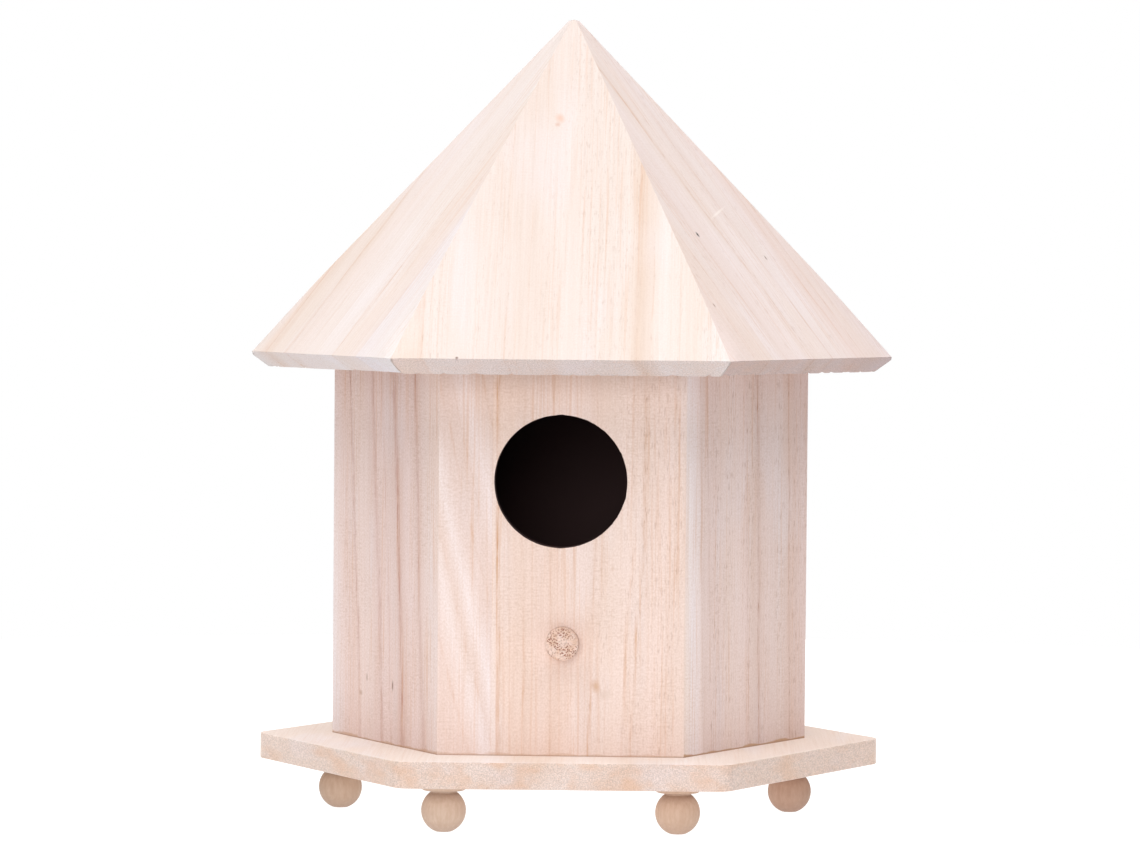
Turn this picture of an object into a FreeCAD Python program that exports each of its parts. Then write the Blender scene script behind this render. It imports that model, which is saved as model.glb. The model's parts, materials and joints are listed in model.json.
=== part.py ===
import FreeCAD, Part
import os
import re

import Sketcher
from FreeCAD import Placement, Rotation, Vector

# Hexagonal wooden birdhouse: six mitred wall boards under a pyramid of six mitred roof panels,
# on a hexagonal board that stands on six turned ball feet, with an entry hole and a dowel perch.
#
# Millimetres and degrees. +Z is up and the front wall faces -Y. The origin is on the ground, under the
# middle of the house. The hexagons have two corners on the X axis and two sides across the Y axis.
# Walls and roof are drawn on the board's top face, feet hang from its underside.

doc = FreeCAD.newDocument("birdhouse")

# ---- driving sizes ------------------------------------------------------------------------------------
SIZES = {
    # base board
    "base_across": 171.2,  # corner to corner, before the corners are rounded
    "base_thickness": 7.0,
    "base_corner_radius": 5.5,
    "base_twist": 1.0,  # the board and its feet are glued on this many degrees askew
    # walls
    "body_across": 130.0,  # corner to corner
    "wall_thickness": 6.5,
    # roof
    "roof_across": 177.8,  # corner to corner at the eave, before sanding
    "roof_slope": 50.3,
    "roof_thickness": 6.5,
    "eave_height": 104.8,  # from the board's top face to the upper edge of the eave
    "tip_sanding": 1.1,  # taken off each corner of the eave
    "ridge_sanding": 24.0,  # horizontal length of ridge over which that sanding fades out
    "apex_sanding": 1.2,  # taken off the point of the roof
    # entry hole and perch, both measured up from the board's top face
    "entry_diameter": 35.0,
    "entry_height": 72.4,
    "entry_offset": -0.4,  # to the right of the wall's centreline, so this one sits to the left
    "perch_diameter": 8.6,
    "perch_height": 29.9,
    "perch_offset": 0.4,  # to the right of the wall's centreline
    "perch_reach": 5.0,  # out of the wall's face
    "perch_chamfer": 0.4,
    # turned feet
    "foot_inset": 23.8,  # from the board's corner to the foot's axis
    "feet_offset": -0.8,  # the whole ring of feet sits this far to the left under the board
    "collar_diameter": 11.5,
    "collar_rim": 2.4,
    "collar_taper": 0.5,  # height of the collar's sloping underside
    "neck_diameter": 6.7,
    "ball_diameter": 11.9,
    "foot_flat_diameter": 4.0,
    "tenon_diameter": 5.0,
    "tenon_length": 4.0,
    # clearances
    "glue_gap": 0.05,  # around a glued tenon or dowel
    "socket_spare": 0.4,  # above a tenon's end
    "sanding_clearance": 0.3,  # between the sanding cut and the ridge where it takes nothing off
    "cut_margin": 10.0,  # how far a cut's outline runs past the wood
}

# ---- sizes that follow from them ----------------------------------------------------------------------
DERIVED = {
    "base_circumradius": "=base_across / 2",
    "base_apothem": "=base_across / 2 * cos(30)",
    "foot_circle_radius": "=base_across / 2 - foot_inset",
    "body_circumradius": "=body_across / 2",
    "wall_outer": "=body_across / 2 * cos(30)",
    "wall_inner": "=wall_outer - wall_thickness",
    "roof_circumradius": "=roof_across / 2",
    "roof_apothem": "=roof_across / 2 * cos(30)",
    "roof_rise": "=roof_apothem * tan(roof_slope)",
    "apex_height": "=eave_height + roof_rise",
    "roof_drop": "=roof_thickness / cos(roof_slope)",
    "wall_inner_height": "=apex_height - roof_drop - wall_inner * tan(roof_slope)",
    "ridge_run": "=roof_circumradius / roof_rise",
    "ball_radius": "=ball_diameter / 2",
    "neck_drop": "=collar_rim + collar_taper",
    "ball_centre_drop": "=neck_drop + sqrt(ball_radius ^ 2 - neck_diameter ^ 2 / 4)",
    "foot_height": "=ball_centre_drop + sqrt(ball_radius ^ 2 - foot_flat_diameter ^ 2 / 4)",
    "board_top": "=foot_height + base_thickness",
}

# the sides and corners of the house, in degrees round +Z from the front and from +X
SIDES = {"front": 0, "front_right": 60, "back_right": 120, "back": 180, "back_left": 240, "front_left": 300}
CORNERS = {"right": 0, "back_right": 60, "back_left": 120, "left": 180, "front_left": 240, "front_right": 300}

sheet = doc.addObject("Spreadsheet::Sheet", "Sizes")
for row, (alias, value) in enumerate({**SIZES, **DERIVED}.items(), start=1):
    sheet.set(f"A{row}", alias)
    sheet.set(f"B{row}", str(value))
    sheet.setAlias(f"B{row}", alias)
doc.recompute()


def cells(text):
    """The expression with every size's name pointing at its cell in the sheet."""
    known = set(SIZES) | set(DERIVED)
    return re.sub(r"[a-z_]+", lambda m: "Sizes." + m[0] if m[0] in known else m[0], text)


def value(text):
    """What the expression comes to now: an outline is first drawn there."""
    return float(sheet.evalExpression(cells(text)))


# ---- sketch helpers -----------------------------------------------------------------------------------
def new_body(label):
    """A body named for its piece."""
    body = doc.addObject("PartDesign::Body", label)
    body.Label = label
    return body


def new_sketch(body, name, role):
    """An empty sketch on one of the body's own origin planes."""
    sketch = body.newObject("Sketcher::SketchObject", name)
    plane = next(f for f in body.Origin.OriginFeatures if f.Role == role)
    sketch.AttachmentSupport = [(plane, "")]
    sketch.MapMode = "FlatFace"
    return sketch


def pin_point(sketch, geometry, end, horizontal, vertical):
    """Holds a point of the sketch at two expressions, measured from the sketch's origin."""
    for kind, text in (("DistanceX", horizontal), ("DistanceY", vertical)):
        index = sketch.addConstraint(Sketcher.Constraint(kind, -1, 1, geometry, end, value(text)))
        sketch.setExpression(f"Constraints[{index}]", cells(text))


def outline(body, name, role, corners):
    """A closed outline of straight sides through corners given as pairs of expressions."""
    sketch = new_sketch(body, name, role)
    points = [Vector(value(a), value(b), 0) for a, b in corners]
    for i, start in enumerate(points):
        sketch.addGeometry(Part.LineSegment(start, points[(i + 1) % len(points)]), False)
    for i, (horizontal, vertical) in enumerate(corners):
        sketch.addConstraint(Sketcher.Constraint("Coincident", i, 1, (i - 1) % len(corners), 2))
        pin_point(sketch, i, 1, horizontal, vertical)
    return sketch


def circles(body, name, role, centres, diameter):
    """Circles of one diameter, round centres given as pairs of expressions."""
    sketch = new_sketch(body, name, role)
    for i, (horizontal, vertical) in enumerate(centres):
        centre = Vector(value(horizontal), value(vertical), 0)
        sketch.addGeometry(Part.Circle(centre, Vector(0, 0, 1), value(diameter) / 2), False)
        pin_point(sketch, i, 3, horizontal, vertical)
        index = sketch.addConstraint(Sketcher.Constraint("Diameter", i, value(diameter)))
        sketch.setExpression(f"Constraints[{index}]", cells(diameter))
    return sketch


def pad(body, sketch, length, midplane=False):
    """Grows the sketch into a solid along its normal, or evenly to both sides of its plane."""
    feature = body.newObject("PartDesign::Pad", "Pad")
    feature.Profile = sketch
    feature.setExpression("Length", cells(length))
    feature.Midplane = midplane
    return feature


def pocket(body, sketch, depth=None, reverse=False, midplane=False):
    """Cuts the sketch out of the body, all the way through where no depth is given."""
    feature = body.newObject("PartDesign::Pocket", "Pocket")
    feature.Profile = sketch
    feature.Reversed = reverse
    feature.Midplane = midplane
    if depth:
        feature.Type = "Length"
        feature.setExpression("Length", cells(depth))
    else:
        feature.Type = "ThroughAll"
    return feature


def axis_of(body, role):
    """One of the body's own origin axes or planes, as a feature's reference."""
    return (next(f for f in body.Origin.OriginFeatures if f.Role == role), [""])


def place(body, height, turn=0.0, out=None):
    """Stands the body at a height, turned about Z, and moved out from the axis where out is given."""
    angle = FreeCAD.Units.Quantity(turn, FreeCAD.Units.Angle)
    rotation = Rotation(Vector(0, 0, 1), angle.Value)
    body.Placement = Placement(rotation.multVec(out) if out else Vector(0, 0, 0), rotation)
    body.setExpression("Placement.Base.z", cells(height))


# ---- base board ---------------------------------------------------------------------------------------
def base_board():
    """The hexagonal floor board, with a blind socket in its underside for each foot's tenon."""
    body = new_body("base_board")
    radius, apothem = "base_circumradius", "base_apothem"
    corners = [
        (radius, "0"),
        (f"{radius} / 2", apothem),
        (f"-{radius} / 2", apothem),
        (f"-{radius}", "0"),
        (f"-{radius} / 2", f"-{apothem}"),
        (f"{radius} / 2", f"-{apothem}"),
    ]
    board = pad(body, outline(body, "board_plan", "XY_Plane", corners), "base_thickness")
    doc.recompute()

    upright = [
        f"Edge{i}"
        for i, edge in enumerate(board.Shape.Edges, start=1)
        if abs(edge.tangentAt(edge.FirstParameter).z) > 0.99
    ]
    rounding = body.newObject("PartDesign::Fillet", "rounded_corners")
    rounding.Base = (board, upright)
    rounding.setExpression("Radius", cells("base_corner_radius"))
    doc.recompute()

    middles = [
        (f"foot_circle_radius * cos({turn}) + feet_offset", f"foot_circle_radius * sin({turn})")
        for turn in CORNERS.values()
    ]
    plan = circles(body, "socket_plan", "XY_Plane", middles, "tenon_diameter + 2 * glue_gap")
    body.Tip = pocket(body, plan, "tenon_length + socket_spare", reverse=True)
    place(body, "foot_height", SIZES["base_twist"])
    return body


# ---- walls --------------------------------------------------------------------------------------------
def wall(label, turn):
    """One wall board, drawn at the front and turned to its side of the house. Its upright edges are
    mitred towards the house's axis, and its top is bevelled to lie flat under the roof panel."""
    body = new_body(label)
    plan = outline(
        body,
        "mitred_plan",
        "XY_Plane",
        [
            ("-body_circumradius / 2", "-wall_outer"),
            ("body_circumradius / 2", "-wall_outer"),
            ("wall_inner * tan(30)", "-wall_inner"),
            ("-wall_inner * tan(30)", "-wall_inner"),
        ],
    )
    pad(body, plan, "wall_inner_height")
    outside = "wall_outer + cut_margin"
    bevel = outline(
        body,
        "top_bevel",
        "YZ_Plane",
        [
            ("-wall_inner", "wall_inner_height"),
            (f"-({outside})", "wall_inner_height - (wall_thickness + cut_margin) * tan(roof_slope)"),
            (f"-({outside})", "wall_inner_height + cut_margin"),
            ("-wall_inner", "wall_inner_height + cut_margin"),
        ],
    )
    body.Tip = pocket(body, bevel, midplane=True)
    place(body, "board_top", turn)
    return body


def front_wall():
    """The front wall board, with the entry hole and the hole that holds the perch."""
    body = wall("wall_front", 0)
    entry = circles(body, "entry_hole", "XZ_Plane", [("entry_offset", "entry_height")], "entry_diameter")
    pocket(body, entry, reverse=True)
    middle = ("perch_offset", "perch_height")
    dowel = circles(body, "perch_hole", "XZ_Plane", [middle], "perch_diameter + 2 * glue_gap")
    body.Tip = pocket(body, dowel, reverse=True)
    return body


def perch():
    """A dowel glued through the front wall, flush with the wall's inner face."""
    body = new_body("perch")
    end = circles(body, "dowel_end", "XZ_Plane", [("0", "0")], "perch_diameter")
    dowel = pad(body, end, "wall_thickness + perch_reach")
    doc.recompute()
    outer_rim = [
        f"Edge{i}"
        for i, edge in enumerate(dowel.Shape.Edges, start=1)
        if edge.isClosed() and edge.CenterOfMass.y < -value("wall_thickness")
    ]
    easing = body.newObject("PartDesign::Chamfer", "eased_rim")
    easing.Base = (dowel, outer_rim)
    easing.setExpression("Size", cells("perch_chamfer"))
    body.Tip = easing
    place(body, "board_top + perch_height")
    body.setExpression("Placement.Base.x", cells("perch_offset"))
    body.setExpression("Placement.Base.y", cells("-wall_inner"))
    return body


# ---- roof ---------------------------------------------------------------------------------------------
def roof_panel(label, turn):
    """One triangular roof panel, drawn at the front and turned to its side. Its eave is cut square to
    its face, its long edges are mitred towards the axis, and the corners and the point are sanded."""
    body = new_body(label)
    section = outline(
        body,
        "panel_section",
        "YZ_Plane",
        [
            ("0", "apex_height"),
            ("-roof_apothem", "eave_height"),
            (
                "-roof_apothem + roof_thickness * sin(roof_slope)",
                "eave_height - roof_thickness * cos(roof_slope)",
            ),
            ("0", "apex_height - roof_drop"),
        ],
    )
    pad(body, section, "roof_circumradius + cut_margin", midplane=True)
    waste = outline(
        body,
        "mitre_waste",
        "XY_Plane",
        [
            ("0", "0"),
            ("(roof_apothem + cut_margin) * tan(30)", "-(roof_apothem + cut_margin)"),
            ("roof_circumradius / 2 + cut_margin", "-(roof_apothem + cut_margin)"),
            ("roof_circumradius / 2 + cut_margin", "0"),
        ],
    )
    mitre = pocket(body, waste, midplane=True)
    doc.recompute()
    mitres = body.newObject("PartDesign::Mirrored", "mitres")
    mitres.Originals = [mitre]
    mitres.MirrorPlane = axis_of(body, "YZ_Plane")
    body.Tip = mitres
    doc.recompute()

    tip, past = "roof_circumradius - tip_sanding", "roof_circumradius + cut_margin"
    below, above = "eave_height - roof_drop", "apex_height + cut_margin"
    sanded_off = outline(
        body,
        "sanded_off",
        "XZ_Plane",
        [
            ("0", "apex_height - apex_sanding"),
            ("apex_sanding * ridge_run + sanding_clearance", "apex_height - apex_sanding"),
            (
                "roof_circumradius - ridge_sanding + sanding_clearance",
                "eave_height + ridge_sanding / ridge_run",
            ),
            (tip, "eave_height"),
            (tip, below),
            (past, below),
            (past, above),
            ("0", above),
        ],
    )
    sanding = body.newObject("PartDesign::Groove", "sanding")
    sanding.Profile = sanded_off
    sanding.ReferenceAxis = axis_of(body, "Z_Axis")
    sanding.Angle = 360
    body.Tip = sanding
    place(body, "board_top", turn)
    return body


# ---- feet ---------------------------------------------------------------------------------------------
def foot(label, turn):
    """A turned ball foot, drawn down from the board's underside: tenon, collar, neck, ball, flat."""
    body = new_body(label)
    sketch = new_sketch(body, "turned_profile", "XZ_Plane")
    corners = [
        ("0", "tenon_length"),
        ("tenon_diameter / 2", "tenon_length"),
        ("tenon_diameter / 2", "0"),
        ("collar_diameter / 2", "0"),
        ("collar_diameter / 2", "-collar_rim"),
        ("neck_diameter / 2", "-neck_drop"),
        ("foot_flat_diameter / 2", "-foot_height"),
        ("0", "-foot_height"),
    ]
    points = [Vector(value(a), value(b), 0) for a, b in corners]
    neck, heel = 5, 6
    centre = Vector(0, -value("ball_centre_drop"), 0)
    equator = centre + Vector(value("ball_radius"), 0, 0)
    for i, start in enumerate(points):
        end = points[(i + 1) % len(points)]
        side = Part.Arc(start, equator, end) if i == neck else Part.LineSegment(start, end)
        sketch.addGeometry(side, False)
    # an arc is stored anticlockwise, so the ball starts at the flat and ends at the neck
    ends = {i: (2, 1) if i == neck else (1, 2) for i in range(len(corners))}
    for i, (horizontal, vertical) in enumerate(corners):
        before = (i - 1) % len(corners)
        sketch.addConstraint(Sketcher.Constraint("Coincident", i, ends[i][0], before, ends[before][1]))
        pin_point(sketch, i, ends[i][0], horizontal, vertical)
    radius = sketch.addConstraint(Sketcher.Constraint("Radius", neck, value("ball_radius")))
    sketch.setExpression(f"Constraints[{radius}]", cells("ball_radius"))

    turning = body.newObject("PartDesign::Revolution", "turning")
    turning.Profile = sketch
    turning.ReferenceAxis = axis_of(body, "Z_Axis")
    turning.Angle = 360
    body.Tip = turning
    out = value(f"foot_circle_radius + feet_offset * cos({turn})")
    along = value(f"-feet_offset * sin({turn})")
    place(body, "foot_height", turn + SIZES["base_twist"], Vector(out, along, 0))
    return body


# ---- the house ----------------------------------------------------------------------------------------
pieces = [base_board(), front_wall(), perch()]
pieces += [wall(f"wall_{side}", turn) for side, turn in SIDES.items() if side != "front"]
pieces += [roof_panel(f"roof_{side}", turn) for side, turn in SIDES.items()]
pieces += [foot(f"foot_{corner}", turn) for corner, turn in CORNERS.items()]
doc.recompute()

# ---- check, then write --------------------------------------------------------------------------------
failed = [o.Label for o in doc.Objects if {"Invalid", "Error"} & set(o.State)]
if failed:
    raise RuntimeError(f"these objects failed to recompute: {failed}")
for piece in pieces:
    if piece.Shape.isNull() or not piece.Shape.isValid() or len(piece.Shape.Solids) != 1:
        raise RuntimeError(f"{piece.Label} is not one valid solid")

os.makedirs("parts", exist_ok=True)
for piece in pieces:
    piece.Shape.exportStep(os.path.join("parts", piece.Label + ".step"))
    box = piece.Shape.BoundBox
    print(
        f"{piece.Label:17s} {piece.Shape.Volume:10.1f} mm3"
        f"  x {box.XMin:7.2f} {box.XMax:7.2f}  y {box.YMin:7.2f} {box.YMax:7.2f}"
        f"  z {box.ZMin:7.2f} {box.ZMax:7.2f}"
    )
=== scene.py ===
# %% [markdown]
# # A hexagonal birdhouse in raw paulownia
# The house is glued up from thin boards: six mitred walls, six mitred roof panels and a floor
# board, with a dowel for a perch and six turned ball feet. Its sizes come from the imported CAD
# model, which is loaded first and never changed. Each piece is then made again as a clean skin
# with rounded arrises, in the same place, and given the wood that it is cut from.

# %% load the frame
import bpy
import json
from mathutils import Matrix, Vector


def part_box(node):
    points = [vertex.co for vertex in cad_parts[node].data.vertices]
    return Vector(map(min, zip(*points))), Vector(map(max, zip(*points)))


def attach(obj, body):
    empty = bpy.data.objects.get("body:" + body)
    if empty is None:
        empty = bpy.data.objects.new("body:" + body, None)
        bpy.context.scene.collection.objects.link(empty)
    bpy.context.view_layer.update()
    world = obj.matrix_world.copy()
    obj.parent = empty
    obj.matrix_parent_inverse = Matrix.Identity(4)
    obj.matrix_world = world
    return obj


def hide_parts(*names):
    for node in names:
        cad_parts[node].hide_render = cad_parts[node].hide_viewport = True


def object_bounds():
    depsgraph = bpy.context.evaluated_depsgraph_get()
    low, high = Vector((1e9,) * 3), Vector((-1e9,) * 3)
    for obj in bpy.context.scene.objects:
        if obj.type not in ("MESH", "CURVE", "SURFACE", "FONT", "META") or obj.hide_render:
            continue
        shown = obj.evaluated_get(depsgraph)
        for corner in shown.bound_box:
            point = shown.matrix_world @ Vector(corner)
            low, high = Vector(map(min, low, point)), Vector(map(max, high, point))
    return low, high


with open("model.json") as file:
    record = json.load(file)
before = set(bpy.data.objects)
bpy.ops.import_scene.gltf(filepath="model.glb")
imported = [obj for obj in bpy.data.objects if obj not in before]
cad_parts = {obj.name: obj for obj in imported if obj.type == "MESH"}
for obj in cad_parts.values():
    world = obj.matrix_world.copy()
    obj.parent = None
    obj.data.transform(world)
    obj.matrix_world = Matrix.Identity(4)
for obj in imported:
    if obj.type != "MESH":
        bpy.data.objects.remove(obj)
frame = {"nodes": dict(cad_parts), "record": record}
cad_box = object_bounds()
print("CAD box in metres:", [tuple(round(x, 5) for x in corner) for corner in cad_box])

# %% [markdown]
# ## Sizes
# Everything is worked out in millimetres and turned to metres only when a mesh is made. The
# house has six equal sides, so only the front board of each kind is measured: its corners are
# the CAD vertices that lie furthest along a direction. The other five are turned copies.

# %% tools for measuring the frame
import json
import math
import bmesh
import bpy
import numpy as np
from mathutils import Euler, Matrix, Vector

MM = 0.001


def corner(node, *direction):
    """The vertex of a CAD node that lies furthest along a direction, in millimetres."""
    mesh = frame["nodes"][node].data
    flat = np.empty(len(mesh.vertices) * 3)
    mesh.vertices.foreach_get("co", flat)
    points = flat.reshape(-1, 3) / MM
    return points[np.argmax(points @ np.array(direction, float))]


def turned(points, degrees):
    """Points turned about the house's upright axis: x' = x cos - y sin, y' = x sin + y cos."""
    c, s = math.cos(math.radians(degrees)), math.sin(math.radians(degrees))
    return points @ np.array([[c, s, 0], [-s, c, 0], [0, 0, 1]])


SIDE_NAMES = ("front", "front_right", "back_right", "back", "back_left", "front_left")
CORNER_NAMES = ("right", "back_right", "back_left", "left", "front_left", "front_right")
SIDES = dict(zip(SIDE_NAMES, range(0, 360, 60)))
CORNERS = dict(zip(CORNER_NAMES, range(0, 360, 60)))
COS_30 = math.cos(math.radians(30))
TAN_30 = math.tan(math.radians(30))
print("degrees that each side is turned by:", SIDES)

# %% heights and radii
board_foot, board_top = (float(c.z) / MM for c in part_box("base_board"))
wall_face = -corner("wall_front", 0, -1, 0)[1]
wall_back = -corner("wall_front", 0, 1, 0)[1]
wall_thickness = wall_face - wall_back
eave_top = corner("roof_front", 0, -1, 0)
eave_foot = corner("roof_front", 0, 0, -1)
roof_slope = math.atan2(eave_foot[1] - eave_top[1], eave_top[2] - eave_foot[2])
roof_thickness = math.dist(eave_top[1:], eave_foot[1:])
ridge_end = -eave_top[1] / COS_30
apex = eave_top[2] - eave_top[1] * math.tan(roof_slope)
roof_drop = roof_thickness / math.cos(roof_slope)
point_height = corner("roof_front", 0, 0, 1)[2]
print(f"walls {wall_thickness:.2f} mm thick with faces {wall_face:.2f} mm from the axis")
print(f"roof {roof_thickness:.2f} mm thick at {math.degrees(roof_slope):.1f} degrees")
print(f"its faces would meet in a point {apex:.2f} mm up")

# %% [markdown]
# ## One way to make every skin
# A board could be a cube with a bevel, but a real board has holes, mitres and worn corners. So
# a skin here is a set of rings. A few key rings, such as the rim of a hole and the outline of a
# face, have the same number of points, and the rows between two of them are straight blends. A
# ring that shrinks to a point closes the skin, and so does coming back to the first ring.

# %% rows between key rings
ARRIS_ROWS = 1 - np.cos(np.linspace(0, np.pi / 2, 4))
ROWS_PER_ARRISES = 2 * len(ARRIS_ROWS) - 2
MOST_ARRIS = 0.3  # of the way to the next ring, where two rings lie close together
print(f"{ROWS_PER_ARRISES} rows between two key rings go to their arrises")


def carry(rings, counts, arris):
    """Rows from each key ring to the next. A row is a + share (b - a). The shares are even in the
    middle, and three rows crowd into the arris at each end so that it can be rounded."""
    rows = [rings[0][None]]
    for a, b, count in zip(rings[:-1], rings[1:], counts):
        length = np.linalg.norm(b - a, axis=1)
        edge = np.minimum(arris / np.maximum(length, 1e-6), MOST_ARRIS)
        bend = np.outer(ARRIS_ROWS, edge)
        middle = edge + np.linspace(0, 1, count + 1)[1:-1, None] * (1 - 2 * edge)
        share = np.concatenate([bend[1:], middle, 1 - bend[::-1]])
        rows.append(a + share[..., None] * (b - a))
    return np.concatenate(rows)


def outline(corners, counts):
    """A closed ring of straight sides, with counts[i] even steps from corner i to the next."""
    ends = np.roll(corners, -1, axis=0)
    sides = [a + np.arange(n)[:, None] / n * (b - a) for a, b, n in zip(corners, ends, counts)]
    return np.concatenate(sides)


def rim(around, centre, radius):
    """The ring of a round hole in a face: each point of the outline drawn in to the circle."""
    away = around - centre
    return centre + radius * away / np.linalg.norm(away, axis=1)[:, None]


# %% rounding the arrises
def ease(points, sides, arris):
    """Rounds the edges between flat sides as sandpaper does. Each side is a point on it and its
    outward normal. A point less than the arris inside a side reaches out along that normal by
    what is missing, and the sum of its reaches is shortened to one arris."""
    shape = points.shape
    points = points.reshape(-1, 3)
    reach = np.zeros_like(points)
    for on_side, normal in sides:
        depth = (on_side - points) @ normal
        reach += np.clip(arris - depth, 0, arris)[:, None] * normal
    length = np.linalg.norm(reach, axis=1)[:, None]
    spare = np.where(length > arris, 1 - arris / np.maximum(length, arris), 0)
    return (points - reach * spare).reshape(shape)


def flat_sides(*faces):
    """Each face given as three of its points, anticlockwise from outside: a point and a normal."""
    sides = []
    for a, b, c in faces:
        normal = np.cross(b - a, c - a)
        sides.append((a, normal / np.linalg.norm(normal)))
    return sides


# %% small unevenness
def lumps(points, size, seed):
    """Smooth random heights from -1 to 1: seeded random values on a lattice of the given size in
    millimetres, blended between neighbours with the smooth step 3t^2 - 2t^3."""
    table = np.random.default_rng(seed).uniform(-1, 1, (32, 32, 32))
    place = points / size
    low = np.floor(place).astype(int)
    part = place - low
    part = part * part * (3 - 2 * part)
    total = np.zeros(points.shape[:-1])
    for step in np.ndindex(2, 2, 2):
        weight = np.prod(np.where(step, part, 1 - part), axis=-1)
        total += weight * table[tuple(np.moveaxis((low + step) % 32, -1, 0))]
    return total


# %% from rows to an object
def skin(name, parts):
    """One object from several sheets of rows. Each sheet is an array of rows and a mask of the
    quads that are wanted, and its columns close round. Doubles are merged, which closes the
    seams and poles, and the faces are turned outwards."""
    points, quads, start = [], [], 0
    for rows, wanted in parts:
        count, columns = rows.shape[:2]
        here = start + np.arange(count * columns).reshape(count, columns)
        right = np.roll(here, -1, axis=1)
        quad = np.stack([here[:-1], right[:-1], right[1:], here[1:]], axis=-1)
        quads.append(quad[wanted])
        points.append(rows.reshape(-1, 3))
        start += count * columns
    points = np.concatenate(points) * MM
    mesh = bpy.data.meshes.new(name)
    mesh.from_pydata(points.tolist(), [], np.concatenate(quads).tolist())
    work = bmesh.new()
    work.from_mesh(mesh)
    bmesh.ops.remove_doubles(work, verts=work.verts, dist=0.004 * MM)
    bmesh.ops.dissolve_degenerate(work, edges=work.edges, dist=0.0005 * MM)
    loose = [v for v in work.verts if not v.link_faces]
    bmesh.ops.delete(work, geom=loose, context="VERTS")
    bmesh.ops.recalc_face_normals(work, faces=work.faces)
    work.normal_update()
    open_edges = sum(1 for e in work.edges if not e.is_manifold)
    volume = work.calc_volume(signed=True) / MM**3
    work.to_mesh(mesh)
    work.free()
    mesh.polygons.foreach_set("use_smooth", np.ones(len(mesh.polygons), bool))
    mesh.update()
    piece = bpy.data.objects.new(name, mesh)
    bpy.context.scene.collection.objects.link(piece)
    print(f"{name}: {len(mesh.polygons)} faces, {volume:.0f} cubic mm, {open_edges} open edges")
    return piece


def whole(rows):
    """A mask that keeps every quad of a sheet."""
    return np.ones((rows.shape[0] - 1, rows.shape[1]), bool)


def keep_flat(piece):
    """Leans the shading of a rounded arris on the big flats beside it."""
    weighted = piece.modifiers.new("flat_faces", "WEIGHTED_NORMAL")
    weighted.weight = 80
    return piece


# %% [markdown]
# ## A board
# A board has two parallel faces with the same outline, and in each face a ring that the rows
# start from: a hole's rim, or a single point where there is no hole. The rows run from it to the
# outline, over the edge, and back to it on the other face. A board with two holes is two such
# cells that share a line, and there the quads over the edge are left out.

# %% a cell of a board
FACE_ROWS, EDGE_ROWS, BORE_ROWS = 10, 5, 5


def cell(near, far, hole_near, hole_far, arris, shared=None, bore=True):
    """The rows of one cell from its two outlines and the rings inside them, and its mask. shared
    marks the columns of the outline that another cell lies against."""
    rings = [hole_near, near, far, hole_far]
    counts = [FACE_ROWS, EDGE_ROWS, FACE_ROWS]
    if bore:
        rings.append(hole_near)
        counts.append(BORE_ROWS)
    rows = carry(rings, counts, arris)
    wanted = whole(rows)
    if shared is not None:
        first = FACE_ROWS + ROWS_PER_ARRISES
        wanted[first : first + EDGE_ROWS + ROWS_PER_ARRISES, shared] = False
    return rows, wanted


# %% [markdown]
# ## The walls
# Each wall's upright edges are mitred so that six of them close into a hexagon, and its top is
# planed to the slope of the roof panel that lies on it. The front wall also has the round entry
# hole and, under it, the small hole that holds the perch.

# %% corners of a wall
foot_out = corner("wall_front", -1, -1, -1)
foot_in = corner("wall_front", -1, 1, -1)
top_out = corner("wall_front", -1, -1, 1)
top_in = corner("wall_front", -1, 1, 1)
SWAP = np.array([-1, 1, 1])
WALL_ARRIS = 0.22
entry = next(m for m in frame["record"]["mounts"] if m["name"] == "entry_hole")
entry_centre = np.array(entry["pos_m"]) / MM
entry_radius = entry["dims"]["r_mm"]
perch_low, perch_high = (np.array(c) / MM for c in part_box("perch"))
perch_centre = (perch_low + perch_high) / 2
perch_radius = (perch_high[0] - perch_low[0]) / 2
perch_room = 0.05
split_height = (entry_centre[2] - entry_radius + perch_centre[2] + perch_radius) / 2
print(f"entry hole {2 * entry_radius:.1f} mm, perch {2 * perch_radius:.1f} mm")
print(f"their two cells meet {split_height:.1f} mm up")


def upright(low, high, height):
    """The point at a height on the edge from low to high."""
    return low + (high - low) * (height - low[2]) / (high[2] - low[2])


def wall_sides():
    """The flat sides of the front wall but its foot, which is glued down and keeps sharp arrises."""
    right = [p * SWAP for p in (foot_out, foot_in, top_out, top_in)]
    return flat_sides(
        (foot_out, right[0], top_out),
        (foot_in, top_in, right[1]),
        (top_out, right[2], top_in),
        (foot_out, top_out, foot_in),
        (right[0], right[1], right[2]),
    )


def wall_cell(low, high, centre, radius, across, up, shared):
    """One cell of a wall between two heights; a radius of None means that it has no hole."""
    faces = []
    for edge_low, edge_high in ((foot_out, top_out), (foot_in, top_in)):
        left = [edge_low if low is None else upright(edge_low, edge_high, low)]
        left.append(edge_high if high is None else upright(edge_low, edge_high, high))
        corners = np.array([left[0], left[0] * SWAP, left[1] * SWAP, left[1]])
        ring = outline(corners, [across, up, across, up])
        middle = np.array([centre[0], edge_low[1], centre[2]])
        faces.append((ring, rim(ring, middle, radius) if radius else ring * 0 + middle))
    (near, hole_near), (far, hole_far) = faces
    columns = np.zeros(len(near), bool)
    if shared == "top":
        columns[across + up : 2 * across + up] = True
    if shared == "foot":
        columns[:across] = True
    return cell(near, far, hole_near, hole_far, WALL_ARRIS, columns, bore=bool(radius))


# %% make the walls
NICK_DEPTH = 0.24
NICK_WIDTH = 0.45
NICK_REACH = 0.5


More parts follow.
